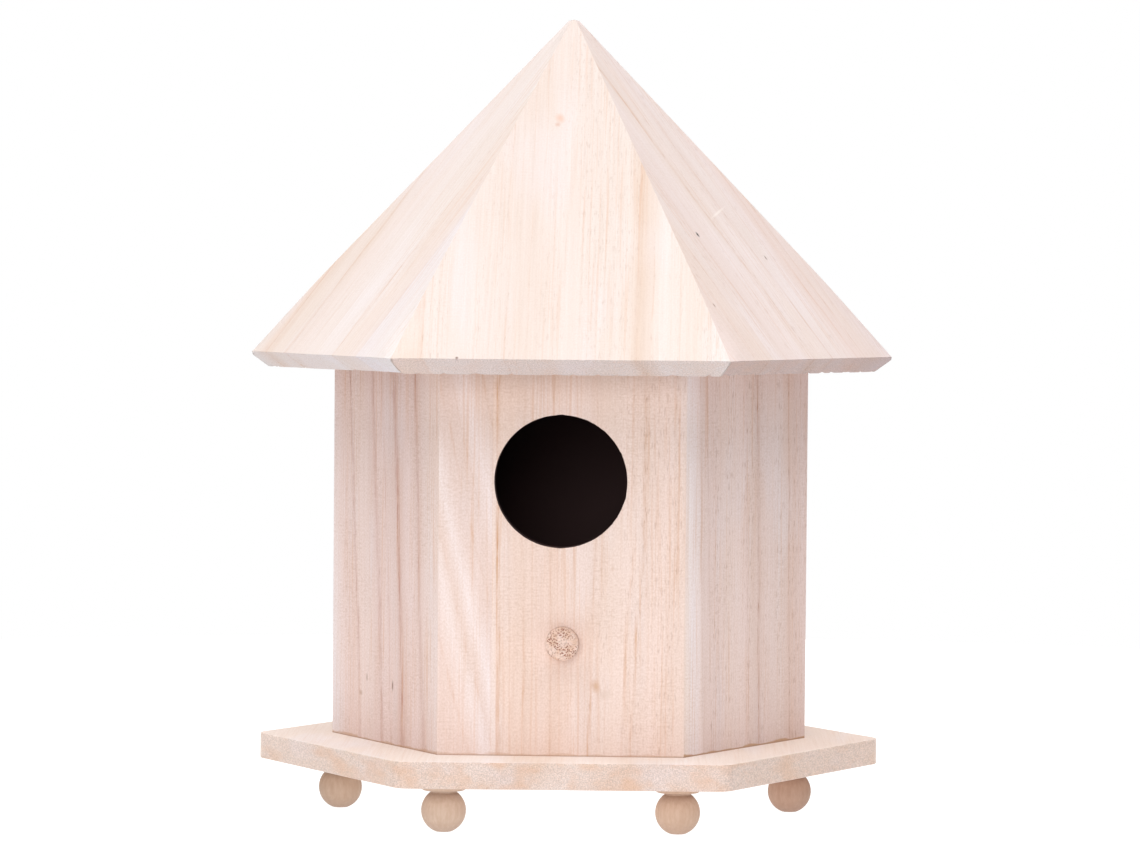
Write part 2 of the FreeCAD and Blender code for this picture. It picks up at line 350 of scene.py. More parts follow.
def nicked(rows, seed):
    """Tears small nicks in the entry hole's front rim, where the hole saw broke out of the wood.
    A point moves outwards and back by depth x torn x exp(-(d / w)^2) for its distance d from the
    rim and the same for the face. torn is the tops of coarse lumps and of fine ones."""
    away = rows - entry_centre
    away[..., 1] = 0
    distance = np.linalg.norm(away, axis=-1)
    near_rim = np.exp(-(((distance - entry_radius) / NICK_WIDTH) ** 2))
    near_face = np.exp(-(((rows[..., 1] + wall_face) / NICK_REACH) ** 2))
    coarse = np.clip(lumps(rows, 1.1, seed) - 0.4, 0, 1)
    fine = np.clip(lumps(rows, 0.45, seed + 1), 0, 1)
    depth = NICK_DEPTH * (coarse + 0.35 * fine) * near_rim * near_face
    away /= np.maximum(distance, 1)[..., None]
    return rows + depth[..., None] * (away + np.array([0, 0.8, 0]))


walls = {}
plain_middle = np.array([0, 0, (foot_out[2] + top_out[2]) / 2])
for side, turn in SIDES.items():
    if side == "front":
        lower = wall_cell(None, split_height, perch_centre, perch_radius + perch_room, 64, 34, "top")
        upper = wall_cell(split_height, None, entry_centre, entry_radius, 64, 60, "foot")
        cells = [lower, upper]
    else:
        cells = [wall_cell(None, None, plain_middle, None, 44, 60, None)]
    parts = []
    for rows, wanted in cells:
        rows = ease(rows, wall_sides(), WALL_ARRIS)
        rows = nicked(rows, 5) if side == "front" else rows
        parts.append((turned(rows, turn), wanted))
    walls[side] = keep_flat(skin(f"sanded_wall_{side}", parts))

# %% [markdown]
# ## The roof panels
# Six triangles with mitred edges make the roof. After it was glued, the ridges were rubbed down
# near the eaves and the point was blunted. So each panel starts with sharp corners, and a limit
# that depends on the height alone pulls in whatever stands too far from the axis.

# %% corners of a roof panel
ridge_run = ridge_end / (apex - eave_top[2])
blunting = apex - point_height
rubbed_length = 24.0
rub_height = [eave_top[2], eave_top[2] + rubbed_length / ridge_run, point_height]
tip_radius = float(cad_box[1].x) / MM
rub_radius = [tip_radius, ridge_end - rubbed_length + 0.3, blunting * ridge_run + 0.3]
half_eave = ridge_end / 2
tip_out = np.array([-half_eave, eave_top[1], eave_top[2]])
tip_in = np.array([eave_foot[1] * TAN_30, eave_foot[1], eave_foot[2]])
apex_out = np.array([0, 0, apex])
apex_in = np.array([0, 0, apex - roof_drop])
ROOF_ARRIS = 0.2
ROOF_SOFTNESS = 0.12
print(f"ridge ends rubbed from {ridge_end:.1f} to {tip_radius:.1f} mm from the axis")
print(f"point rubbed from {apex:.1f} to {point_height:.1f} mm high")


def rubbed(rows):
    """Draws points in to the sanded radius at their height. The softened minimum of r and the
    limit is -k log(exp(-r/k) + exp(-limit/k)), so the sanded corner blends into the ridge."""
    radius = np.hypot(rows[..., 0], rows[..., 1])
    limit = np.interp(rows[..., 2], rub_height, rub_radius)
    k = ROOF_SOFTNESS
    soft = np.maximum(-k * np.logaddexp(-radius / k, -limit / k), 0)
    scale = np.where(radius > 1e-6, soft / np.maximum(radius, 1e-6), 1)
    height = np.minimum(rows[..., 2], point_height - 0.05 * np.minimum(radius, 2) ** 2)
    return np.stack([rows[..., 0] * scale, rows[..., 1] * scale, height], axis=-1)


def roof_sides():
    """The five flat sides of the front roof panel."""
    right_out, right_in = tip_out * SWAP, tip_in * SWAP
    return flat_sides(
        (tip_out, right_out, apex_out),
        (tip_in, apex_in, right_in),
        (tip_out, tip_in, right_out),
        (tip_out, apex_out, tip_in),
        (right_out, right_in, apex_out),
    )


UP_SLOPE = np.array([0, math.cos(roof_slope), math.sin(roof_slope)])
OFF_ROOF = np.array([0, -math.sin(roof_slope), math.cos(roof_slope)])


EAVE_WAVES = 0.12
EAVE_SPLINTERS = 0.8
EAVE_REACH = 0.8


def sawn_eave(rows, seed, lift):
    """Makes the sawn eave uneven: a point moves up the slope by (waves + splinters + slant) x
    exp(-height / reach). Splinters broke away at the lower arris, so they grow with the fourth
    power of the depth into the board, and the slant is a cut that ran out of square."""
    up = (rows - eave_top) @ UP_SLOPE
    inward = -((rows - eave_top) @ OFF_ROOF) / roof_thickness
    line = rows * np.array([1, 0, 0])
    wavy = 0.5 + 0.5 * lumps(line, 9, seed)
    splinter = np.clip(lumps(line, 1.6, seed + 1) - 0.3, 0, 1) * inward**4
    slant = lift * inward * (rows[..., 0] / half_eave * np.sign(lift) + 1) / 2
    move = EAVE_WAVES * wavy + EAVE_SPLINTERS * splinter + np.abs(slant)
    move = move * np.exp(-np.clip(up, 0, None) / EAVE_REACH)
    return rows + move[..., None] * UP_SLOPE


# %% make the roof panels
EAVE_LIFT = {"front_left": 0.5, "front_right": -0.4}
roofs = {}
for number, (side, turn) in enumerate(SIDES.items()):
    faces = []
    for tip, top in ((tip_out, apex_out), (tip_in, apex_in)):
        ring = outline(np.array([tip, tip * SWAP, top]), [170, 62, 62])
        faces.append((ring, ring * 0 + (tip + tip * SWAP + top) / 3))
    (near, eye_near), (far, eye_far) = faces
    rows, wanted = cell(near, far, eye_near, eye_far, ROOF_ARRIS, bore=False)
    rows = sawn_eave(rows, 20 + number, EAVE_LIFT.get(side, 0.0))
    rows = rubbed(ease(rows, roof_sides(), ROOF_ARRIS))
    roofs[side] = keep_flat(skin(f"sanded_roof_{side}", [(turned(rows, turn), wanted)]))

# %% [markdown]
# ## The base board
# The floor is a hexagonal board with its corners rounded. Under each corner it has a blind
# socket for a foot's tenon. One sixth of it is a kite round a corner, with the socket as its
# hole, so six turned kites make the board, and only their two outer sides get an edge.

# %% one sixth of the base board
foot_box = {c: [np.array(p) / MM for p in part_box(f"foot_{c}")] for c in CORNERS}
foot_centre = {c: (low + high) / 2 for c, (low, high) in foot_box.items()}
tenon_length = float(foot_box["right"][1][2]) - board_foot
socket_radius = 2.55
socket_depth = tenon_length + 0.4
twist = math.degrees(math.atan2(foot_centre["right"][1], foot_centre["right"][0]))
board_corner_radius = 5.5
BASE_ARRIS = 0.3
side_way = turned(np.array([COS_30, 0.5, 0]), twist)
board_apothem = float(corner("base_board", *side_way) @ side_way)
arc_centre = (board_apothem - board_corner_radius) / COS_30
print(f"board {2 * board_apothem:.1f} mm across flats, twisted {twist:.2f} degrees")


KITE_STEPS = 24


def kite(height):
    """The outline of one sixth, from the middle of the board along one cut, round the outer sides
    and back: straight to a corner's arc, which is centre + r (cos t, sin t) for t in -30..30."""
    t = np.radians(np.linspace(-30, 30, 15))
    arc = np.stack([arc_centre + board_corner_radius * np.cos(t), board_corner_radius * np.sin(t)], -1)
    middle = board_apothem * np.array([COS_30, math.sin(math.radians(30))])
    mirrored = middle * np.array([1, -1])
    share = np.arange(KITE_STEPS)[:, None] / KITE_STEPS
    before = [a + share * (b - a) for a, b in ((np.zeros(2), mirrored), (mirrored, arc[0]))]
    after = [a + share * (b - a) for a, b in ((arc[-1], middle), (middle, np.zeros(2)))]
    flat = np.concatenate(before + [arc[:-1]] + after)
    return np.column_stack([flat, np.full(len(flat), height)])


cut_columns = np.zeros(len(kite(0)), bool)
cut_columns[:KITE_STEPS] = True
cut_columns[-KITE_STEPS:] = True


def round_edge(rows):
    """Rounds the board's upper and lower arris: a point within the arris of both the edge and a
    face moves to the quarter circle between them."""
    depth_face = np.minimum(board_top - rows[..., 2], rows[..., 2] - board_foot)
    flat = rows[..., :2]
    straight = board_apothem - (flat[..., 0] * COS_30 + np.abs(flat[..., 1]) * 0.5)
    from_arc = flat - np.array([arc_centre, 0])
    arc_length = np.linalg.norm(from_arc, axis=-1)
    at_corner = np.abs(from_arc[..., 1]) < from_arc[..., 0] * TAN_30
    depth_edge = np.where(at_corner, board_corner_radius - arc_length, straight)
    x = np.clip(BASE_ARRIS - depth_edge, 0, BASE_ARRIS)
    z = np.clip(BASE_ARRIS - depth_face, 0, BASE_ARRIS)
    length = np.hypot(x, z)
    spare = np.where(length > BASE_ARRIS, 1 - BASE_ARRIS / np.maximum(length, BASE_ARRIS), 0)
    side = np.stack([np.full(x.shape, COS_30), np.sign(flat[..., 1]) * 0.5], -1)
    round_way = from_arc / np.maximum(arc_length, 1e-6)[..., None]
    outward = np.where(at_corner[..., None], round_way, side)
    up = np.where(rows[..., 2] > (board_top + board_foot) / 2, 1, -1)
    moved = rows.copy()
    moved[..., :2] -= outward * (x * spare)[..., None]
    moved[..., 2] -= up * z * spare
    return moved


# %% make the base board
under, over = kite(board_foot), kite(board_top)
# rows over the socket's end, up its wall, over the underside, over the edge and over the top
SIXTH_ROWS = [3, 4, 16, EDGE_ROWS, 16]
edge_start = sum(SIXTH_ROWS[:3]) + 3 * ROWS_PER_ARRISES
sixths = []
for place, turn in CORNERS.items():
    socket_mouth = turned(foot_centre[place], -twist - turn) * [1, 1, 0] + [0, 0, board_foot]
    socket_end = socket_mouth + [0, 0, socket_depth]
    mouth = rim(under, socket_mouth, socket_radius)
    end = mouth + [0, 0, socket_depth]
    eye = over * 0 + socket_mouth + [0, 0, board_top - board_foot]
    rows = carry([end * 0 + socket_end, end, mouth, under, over, eye], SIXTH_ROWS, BASE_ARRIS)
    wanted = whole(rows)
    wanted[edge_start : edge_start + EDGE_ROWS + ROWS_PER_ARRISES, cut_columns] = False
    sixths.append((turned(round_edge(rows), twist + turn), wanted))
base = keep_flat(skin("sanded_base_board", sixths))

# %% [markdown]
# ## The turned feet
# Each foot is a small ball turned on a lathe, with a collar that bears on the board and a tenon
# glued into its socket. A turned shape is a profile of radius against height carried round an
# axis, so its key rings are circles, and the ball is an arc of many of them.

# %% the profile of a foot
foot_low, foot_high = foot_box["right"]
ball_radius = float(foot_high[0] - foot_low[0]) / 2
tenon_radius = 2.5
collar_radius, collar_rim = 5.75, 2.4
neck_radius, neck_drop = 3.35, 2.9
flat_radius = 2.0
ball_centre = float(foot_low[2]) + math.sqrt(ball_radius**2 - flat_radius**2)
neck_height = board_foot - neck_drop
print(f"balls {2 * ball_radius:.1f} mm across, collars {2 * collar_radius:.1f} mm")


def lathe(profile, columns):
    """Circles from a list of (radius, height): x = r cos t, y = r sin t."""
    t = np.linspace(0, 2 * np.pi, columns, endpoint=False)
    profile = np.array(profile)
    x = profile[:, :1] * np.cos(t)
    y = profile[:, :1] * np.sin(t)
    return np.stack([x, y, np.repeat(profile[:, 1:], columns, axis=1)], axis=-1)


def foot_profile():
    """Radius and height from the tenon's end down to the flat: straight turns, then the ball's arc
    r = R cos a, z = centre + R sin a, with the collar's and the flat's edges softened."""
    start = math.asin((neck_height - ball_centre) / ball_radius)
    end = math.asin((foot_low[2] - ball_centre) / ball_radius)
    a = np.linspace(start, end, 40)[1:]
    ball = list(zip(ball_radius * np.cos(a), ball_centre + ball_radius * np.sin(a)))
    rim_foot = board_foot - collar_rim
    taper = (collar_radius - neck_radius) / (neck_drop - collar_rim)
    tenon = [(0, foot_high[2]), (tenon_radius - 0.3, foot_high[2]), (tenon_radius, foot_high[2] - 0.3)]
    tenon += [(tenon_radius, board_foot + 0.02), (tenon_radius, board_foot)]
    collar = [(collar_radius - 0.25, board_foot), (collar_radius - 0.07, board_foot - 0.07)]
    collar += [(collar_radius, board_foot - 0.25), (collar_radius, rim_foot + 0.3)]
    collar += [(collar_radius - 0.08, rim_foot + 0.08), (collar_radius - 0.3, rim_foot - 0.2 / taper)]
    neck = [(neck_radius + 0.35, neck_height + 0.3), (neck_radius + 0.06, neck_height + 0.05)]
    return tenon + collar + neck + ball + [(flat_radius * 0.6, foot_low[2]), (0, foot_low[2])]


# %% make the feet
TOOL_STEP = 0.55
TOOL_DEPTH = 0.018
feet = {}
for number, (place, centre) in enumerate(foot_centre.items()):
    rows = lathe(foot_profile(), 96)
    # the tool's rings on the ball: its radius less depth (1 + sin(2 pi height / step))
    marks = TOOL_DEPTH * np.sin(rows[..., 2] * 2 * np.pi / TOOL_STEP + number)
    below = rows[..., 2] < neck_height
    scale = 1 - np.where(below, TOOL_DEPTH + marks, 0) / ball_radius
    rows[..., 0] *= scale
    rows[..., 1] *= scale
    rows = rows + np.array([centre[0], centre[1], 0])
    feet[place] = skin(f"turned_foot_{place}", [(rows, whole(rows))])

# %% [markdown]
# ## The perch
# A short length of dowel, glued through the front wall. Its outer end was sawn across and hardly
# touched after that, so the wood's vessels show as torn pits. They are made as real hollows.

# %% make the perch
perch_length = float(perch_high[1] - perch_low[1])
print(f"dowel {perch_length:.1f} mm long, {perch_length - wall_thickness:.1f} mm of it outside")


def perch_profile(length, bevel=0.4):
    """Radius against distance from the wall's inner face, the end with many rings for the pits."""
    r = perch_radius
    profile = [(0, 0), (r - 0.2, 0), (r, 0.2), (r, wall_thickness), (r, length * 0.7)]
    profile += [(r, length - bevel), (r - 0.12, length - 0.22), (r - bevel, length - 0.02)]
    return profile + [(radius, length) for radius in np.linspace(r - bevel - 0.15, 0, 26)]


def torn_end(rows, length):
    """Pits in the sawn end: where the lumps of 0.42 mm and of 0.9 mm are low enough the surface
    drops by up to a few tenths of a millimetre, and waves of a few hundredths run over the rest."""
    at_end = rows[..., 2] > length - 0.3
    flat = rows * np.array([1, 1, 0])
    small = np.clip(-lumps(flat, 0.42, 31) - 0.28, 0, 1)
    large = np.clip(-lumps(flat, 0.9, 33) - 0.35, 0, 1)
    waves = 0.04 * lumps(flat * np.array([0.4, 1, 1]), 0.6, 35) + 0.04
    drop = np.where(at_end, 0.45 * (small + 0.6 * large) + waves, 0)
    return rows - drop[..., None] * np.array([0, 0, 1])


x, z, out = np.moveaxis(torn_end(lathe(perch_profile(perch_length), 120), perch_length), -1, 0)
dowel = np.stack([perch_centre[0] + x, perch_high[1] - out, perch_centre[2] + z], -1)
perch = skin("sawn_perch", [(dowel, whole(dowel))])

# %% [markdown]
# ## Colours and one way to add a node
# A colour is given as a hex value, as it would be picked from a paint chart, and turned to the
# linear light that Blender adds up. One small function adds any node: it sets the node's own
# settings, then fills each input from a number or from another node's output.

# %% colour and node helpers
def tone(code):
    """A hex colour turned to linear light: c / 12.92 below 0.04045, else ((c + 0.055) / 1.055)^2.4."""
    channels = [int(code[i : i + 2], 16) / 255 for i in (1, 3, 5)]
    return tuple(c / 12.92 if c <= 0.04045 else ((c + 0.055) / 1.055) ** 2.4 for c in channels) + (1.0,)


def add(tree, kind, inputs=None, out=0, stops=None, **settings):
    """Adds a node and gives one of its outputs. stops are a colour ramp's places and colours."""
    node = tree.nodes.new("ShaderNode" + kind)
    for name, value in settings.items():
        setattr(node, name, value)
    for key, value in (inputs or {}).items():
        if isinstance(value, bpy.types.NodeSocket):
            tree.links.new(value, node.inputs[key])
        else:
            node.inputs[key].default_value = value
    if stops:
        ramp = node.color_ramp.elements
        for place, colour in stops[:-2]:
            ramp.new(place)
        for element, (place, colour) in zip(ramp, stops):
            element.position = place
        for element, (place, colour) in zip(ramp, stops):
            element.color = colour
    return node.outputs[out] if len(node.outputs) else node


def new_material(name):
    """An empty material with its node tree."""
    material = bpy.data.materials.new(name)
    material.use_nodes = True
    material.node_tree.nodes.clear()
    return material, material.node_tree


def give(piece, material):
    """Gives a piece its material and says how many nodes that takes."""
    piece.data.materials.append(material)
    print(f"{material.name}: {len(material.node_tree.nodes)} nodes")


# %% [markdown]
# ## Raw paulownia
# Paulownia is a pale, soft, ring-porous wood. Sawn lengthways it shows three things: broad bands
# from cream to pinkish grey, thin brown lines where a year's growth stopped, and short dark
# dashes where the large early vessels are cut open, thickest along those lines. Sawn across, the
# same vessels are dots. So the wood is drawn as a solid block that each board is cut from: every
# pattern is stretched along the grain, and an end cut shows it end on without any extra work.

# %% the board's own coordinates
def board_mm(tree, across, along, out, origin):
    """Object coordinates as millimetres across the board, along its grain and out of its face. A
    Mapping node turns the board's three directions to X, Y and Z and moves its origin to zero."""
    turn = Matrix((across, along, out))
    shift = -(turn @ Vector(origin))
    moved = {"Scale": (1 / MM,) * 3, "Rotation": turn.to_euler("XYZ"), "Location": shift}
    place = add(tree, "TexCoord", out=3)
    return add(tree, "Mapping", dict(moved, Vector=place), vector_type="POINT")


def spread(stops, half):
    """Stops given in millimetres each side of the middle, as a ramp's 0..1."""
    return [((place + half) / (2 * half), tone(colour)) for place, colour in stops]


def line_stops(lines, half):
    """Each growth line as three stops of grey: nothing, its strength, nothing."""
    stops = []
    for place, width, strength in lines:
        for offset, grey in ((-width, 0.0), (0.0, strength), (width, 0.0)):
            stops.append(((place + offset + half) / (2 * half), (grey, grey, grey, 1)))
    return stops


# %% the figure of a board
def figure(tree, board, seed, lean, tones, lines, wander=1.2, tilt=0.35, fan=0.0):
    """The growth rings' bands and lines. How far a point lies across the rings is u + lean v +
    tilt w, plus a slow wander of a millimetre or so, a quick one of a tenth or two, and a fan: fan
    millimetres to the right at the board's foot, less higher up and nothing at its left side. Two
    ramps read that distance."""
    half = 45.0
    parts = add(tree, "SeparateXYZ", {0: board}).node
    straight = add(tree, "VectorMath", {0: board, 1: (1.0, lean, tilt)}, out=1, operation="DOT_PRODUCT")
    for size, amount in (((30, 75, 30), 4 * wander), ((4, 20, 4), 1.3)):
        stretch = tuple(1 / s for s in size)
        place = add(tree, "VectorMath", {0: board, 1: stretch, 2: (seed, 0, 0)}, operation="MULTIPLY_ADD")
        wave = add(tree, "TexNoise", {"Vector": place, "Scale": 1.0, "Detail": 1.5})
        straight = add(tree, "Math", {0: wave, 1: amount, 2: straight}, operation="MULTIPLY_ADD")
        straight = add(tree, "Math", {0: straight, 1: amount / 2}, operation="SUBTRACT")
    if fan:
        # from 17 mm left of the middle to 23 mm right of it, and from 55 mm up to the foot
        right = add(tree, "MapRange", {"Value": parts.outputs[0], "From Min": -17.0, "From Max": 23.0})
        right = add(tree, "Math", {0: right, 1: 2.0}, operation="POWER")
        low = {"Value": parts.outputs[1], "From Min": 55.0, "From Max": 0.0, "To Max": fan}
        low = add(tree, "MapRange", low)
        straight = add(tree, "Math", {0: right, 1: low, 2: straight}, operation="MULTIPLY_ADD")
    place = add(tree, "MapRange", {"Value": straight, "From Min": -half, "From Max": half})
    bands = add(tree, "ValToRGB", {"Fac": place}, stops=spread(tones, half))
    rings = add(tree, "ValToRGB", {"Fac": place}, stops=line_stops(lines, half))
    rings.node.color_ramp.interpolation = "EASE"
    return bands, rings


def noise_at(tree, board, scale, seed, low, high, to=(0.0, 1.0), detail=2.0):
    """Noise stretched to a size in millimetres, with its values from low to high read as to."""
    stretch = tuple(1 / s for s in scale)
    place = add(tree, "VectorMath", {0: board, 1: stretch, 2: (seed, seed, 0)}, operation="MULTIPLY_ADD")
    noise = add(tree, "TexNoise", {"Vector": place, "Scale": 1.0, "Detail": detail})
    reading = {"Value": noise, "From Min": low, "From Max": high, "To Min": to[0], "To Max": to[1]}
    return add(tree, "MapRange", reading)


# %% the wood's other colours
STREAK_TAN = tone("#d09f78")
PORE_BROWN = tone("#a06e52")
GREY_CAST = tone("#e2d9dc")
GLUE_STAIN = tone("#c39a78")
JOINT_BROWN = tone("#94705b")
# painted shade: near black on the boards' inner faces and the entry hole's bore, for the dark inside of the
# house
PAINTED_HOLE_SHADE = tone("#4f3736")
# darker wood is warmer too: its red follows the shade by three quarters, its blue by more
WARMTH = (0.75, 1.05, 1.35)
print("paulownia: cream bands with tan streaks, brown vessels and a grey cast")


# %% strips
def laid_strips(tree, board, parts, seed, figures):
    """The figures of a board's strips side by side. Past the left edge of a strip its own bands
    and lines take the place of those to the left of it."""
    bands, rings = figure(tree, board, seed, **figures[0][1])
    for number, (edge, settings) in enumerate(figures[1:], start=1):
        strip_bands, strip_rings = figure(tree, board, seed + 7 * number, **settings)
        in_strip = add(tree, "Math", {0: parts.outputs[0], 1: edge}, operation="GREATER_THAN")
        bands = add(tree, "Mix", {0: in_strip, 6: bands, 7: strip_bands}, out=2, data_type="RGBA")
        rings = add(tree, "Mix", {0: in_strip, 6: rings, 7: strip_rings}, out=2, data_type="RGBA")
    return bands, rings


# %% fibres and fuzz
def sanded_grain(tree, board, bands, seed, fuzz, tint):
    """Lays the fine grain over the bands, and gives the wood and its fuzz. The shade is fibre times
    fuzz less flecks, and each channel is multiplied by tint (1 + warmth (shade - 1))."""
    # patches of cooler wood 12 mm wide and 50 mm long, and fibres 0.7 mm wide and 30 mm long
    cool = noise_at(tree, board, (12, 50, 12), seed + 3, 0.5, 0.72, (0, 0.3))
    wood = add(tree, "Mix", {0: cool, 6: bands, 7: GREY_CAST}, out=2, data_type="RGBA")
    fibre = noise_at(tree, board, (0.7, 30, 0.7), seed + 2, 0.3, 0.7, (0.965, 1.03), 3.0)
    # fuzz: torn fibre ends a tenth of a millimetre across, drawn half a millimetre so that they show
    speck = noise_at(tree, board, (0.45, 0.6, 0.45), seed + 6, 0.3, 0.7, (1 - fuzz, 1 + fuzz), 2.5)
    # ray flecks: ticks across the grain, 1 mm by 0.25 mm, in loose patches
    fleck = noise_at(tree, board, (2.1, 0.5, 2.1), seed + 9, 0.45, 0.68, (0, 1), 1.0)
    here = noise_at(tree, board, (14, 26, 14), seed + 10, 0.45, 0.62, (0, fuzz), 1.0)
    fleck = add(tree, "Math", {0: fleck, 1: here}, operation="MULTIPLY")
    shade = add(tree, "Math", {0: fibre, 1: speck}, operation="MULTIPLY")
    shade = add(tree, "Math", {0: shade, 1: fleck}, operation="SUBTRACT")
    warm = [t * w for t, w in zip(tint, WARMTH)]
    rest = [t - w for t, w in zip(tint, warm)]
    shade = add(tree, "VectorMath", {0: shade, 1: warm, 2: rest}, operation="MULTIPLY_ADD")
    wood = add(tree, "Mix", {0: 1.0, 6: wood, 7: shade}, out=2, data_type="RGBA", blend_type="MULTIPLY")
    return wood, speck


# %% streaks and growth lines
def streaked(tree, board, wood, rings, seed, streak_part, line_part, line_tone):
    """Adds the tan streaks and the growth lines, and gives the wood and how crowded they are."""
    # thin tan streaks, 0.3 mm wide and 20 mm long, crowded along the growth lines and in bands
    streak = noise_at(tree, board, (0.62, 38, 0.62), seed + 4, 0.5, 0.66, (0, 1), 2.5)
    crowd = noise_at(tree, board, (6, 150, 6), seed + 5, 0.42, 0.62, (0.15, 0.65), 1.0)
    crowd = add(tree, "Math", {0: rings, 1: 0.9, 2: crowd}, operation="MULTIPLY_ADD", use_clamp=True)
    streak = add(tree, "Math", {0: streak, 1: crowd}, operation="MULTIPLY")
    amount = add(tree, "Math", {0: streak, 1: streak_part}, operation="MULTIPLY")
    wood = add(tree, "Mix", {0: amount, 6: wood, 7: STREAK_TAN}, out=2, data_type="RGBA")

    # a growth line fades and thickens along its length, and is itself made of streaks
    fade = noise_at(tree, board, (3, 26, 3), seed + 1, 0.36, 0.62, (0.15, 0.7))
    fade = add(tree, "Math", {0: streak, 1: 0.5, 2: fade}, operation="MULTIPLY_ADD")
    broken = noise_at(tree, board, (0.7, 5, 0.7), seed + 12, 0.36, 0.6, (0.3, 1.4), 2.0)
    fade = add(tree, "Math", {0: fade, 1: broken}, operation="MULTIPLY")
    line = add(tree, "Math", {0: rings, 1: fade}, operation="MULTIPLY")
    amount = add(tree, "Math", {0: line, 1: line_part}, operation="MULTIPLY")
    wood = add(tree, "Mix", {0: amount, 6: wood, 7: tone(line_tone)}, out=2, data_type="RGBA")
    return wood, crowd


# %% vessels
def pored(tree, board, parts, wood, crowd, seed, pore_part, pore_edge):
    """Adds the cut vessels, and gives the wood and where they are. To the right of pore_edge the
    board is coarser, so they are stronger there and weaker to the left of it."""
    # dashes 0.15 mm wide and 1 mm long, drawn a little wide, stippled along the lines
    pore = noise_at(tree, board, (0.38, 3.0, 0.38), seed + 7, 0.58, 0.68, (0, 1), 1.5)
    pore = add(tree, "Math", {0: pore, 1: crowd}, operation="MULTIPLY")
    if pore_edge is not None:
        right = {"Value": parts.outputs[0], "From Min": pore_edge, "From Max": pore_edge + 6}
        coarse = add(tree, "MapRange", dict(right, **{"To Min": 0.35, "To Max": 1.6}))
        pore = add(tree, "Math", {0: pore, 1: coarse}, operation="MULTIPLY")
    amount = add(tree, "Math", {0: pore, 1: pore_part}, operation="MULTIPLY")
    wood = add(tree, "Mix", {0: amount, 6: wood, 7: PORE_BROWN}, out=2, data_type="RGBA")
    return wood, pore


# %% end grain
def end_cut(tree, board, along, wood, seed, end_tint, end_grain, end_from, stain):
    """Sawn across the grain, the same wood is a field of dots, a little darker. A face counts as
    cut across where its normal and the grain are nearly in line."""
    normal = add(tree, "TexCoord", out=1)
    ends = add(tree, "VectorMath", {0: normal, 1: along}, out=1, operation="DOT_PRODUCT")
    ends = add(tree, "Math", {0: ends}, operation="ABSOLUTE")
    ends = add(tree, "MapRange", {"Value": ends, "From Min": end_from, "From Max": end_from + 0.3})
    strength = (1 - end_grain, 1 + end_grain * 0.6)
    dots = noise_at(tree, board, (0.36, 2, 0.36), seed + 8, 0.35, 0.65, strength)
    shade = add(tree, "VectorMath", {0: end_tint, 1: dots}, operation="MULTIPLY")
    cut = add(tree, "Mix", {0: 1.0, 6: wood, 7: shade}, out=2, data_type="RGBA", blend_type="MULTIPLY")
    if stain:
        # the blunt saw rubbed and browned the end grain in patches about 6 mm wide
        browned = noise_at(tree, board, (7, 40, 5), seed + 13, 0.45, 0.68, (0, stain), 2.0)
        cut = add(tree, "Mix", {0: browned, 6: cut, 7: STREAK_TAN}, out=2, data_type="RGBA")
    return add(tree, "Mix", {0: ends, 6: wood, 7: cut}, out=2, data_type="RGBA")


# %% marks and glue
def marked(tree, board, wood, marks):
    """Knots, chips and smudges as soft ellipses. Each is (across, along, half width, half length,
    lean in degrees, colour, strength), and fades from a fifth of its size out to its edge."""
    for u, v, wide, long, lean, colour, strength in marks:
        turn = (0, 0, math.radians(lean))
        ellipse = {"Vector": board, "Location": (u, v, 0), "Rotation": turn, "Scale": (wide, long, 1.5)}
        spot = add(tree, "Mapping", ellipse, vector_type="TEXTURE")
        spot = add(tree, "VectorMath", {0: spot}, out=1, operation="LENGTH")
        fade = {"Value": spot, "From Min": 1.0, "From Max": 0.2, "To Max": strength}
        spot = add(tree, "MapRange", fade)
        wood = add(tree, "Mix", {0: spot, 6: wood, 7: tone(colour)}, out=2, data_type="RGBA")
    return wood


def glued_foot(tree, board, parts, wood, seed, glue):
    """Glue squeezed out of the joint at a wall's foot: stained wood up to half a millimetre or so
    above the board, and a thin darker line in the joint."""
    creep = noise_at(tree, board, (9, 3, 9), seed + 11, 0.42, 0.62, (0.4, 0.95))
    height = add(tree, "Math", {0: parts.outputs[1], 1: creep}, operation="DIVIDE")
    stain = add(tree, "MapRange", {"Value": height, "From Min": 1.1, "From Max": 0.7, "To Max": glue})
    wood = add(tree, "Mix", {0: stain, 6: wood, 7: GLUE_STAIN}, out=2, data_type="RGBA")
    joint = {"Value": parts.outputs[1], "From Min": 0.35, "From Max": 0.15, "To Max": 0.5}
    joint = add(tree, "MapRange", joint)
    return add(tree, "Mix", {0: joint, 6: wood, 7: JOINT_BROWN}, out=2, data_type="RGBA")


# %% painted shade inside the house
def painted_inside_shade(tree, parts, wood, depth, lowest):
    """Paints shade, nearly black, on a board deeper than a depth under its face and above a height along
    its grain: the dark inside of the house seen through the entry hole.
    """
    deep = add(tree, "MapRange", {"Value": parts.outputs[2], "From Min": -depth, "From Max": -depth - 0.3})
    indoors = add(tree, "Math", {0: parts.outputs[1], 1: lowest}, operation="GREATER_THAN")
    deep = add(tree, "Math", {0: deep, 1: indoors}, operation="MULTIPLY")
    return add(tree, "Mix", {0: deep, 6: wood, 7: PAINTED_HOLE_SHADE}, out=2, data_type="RGBA")


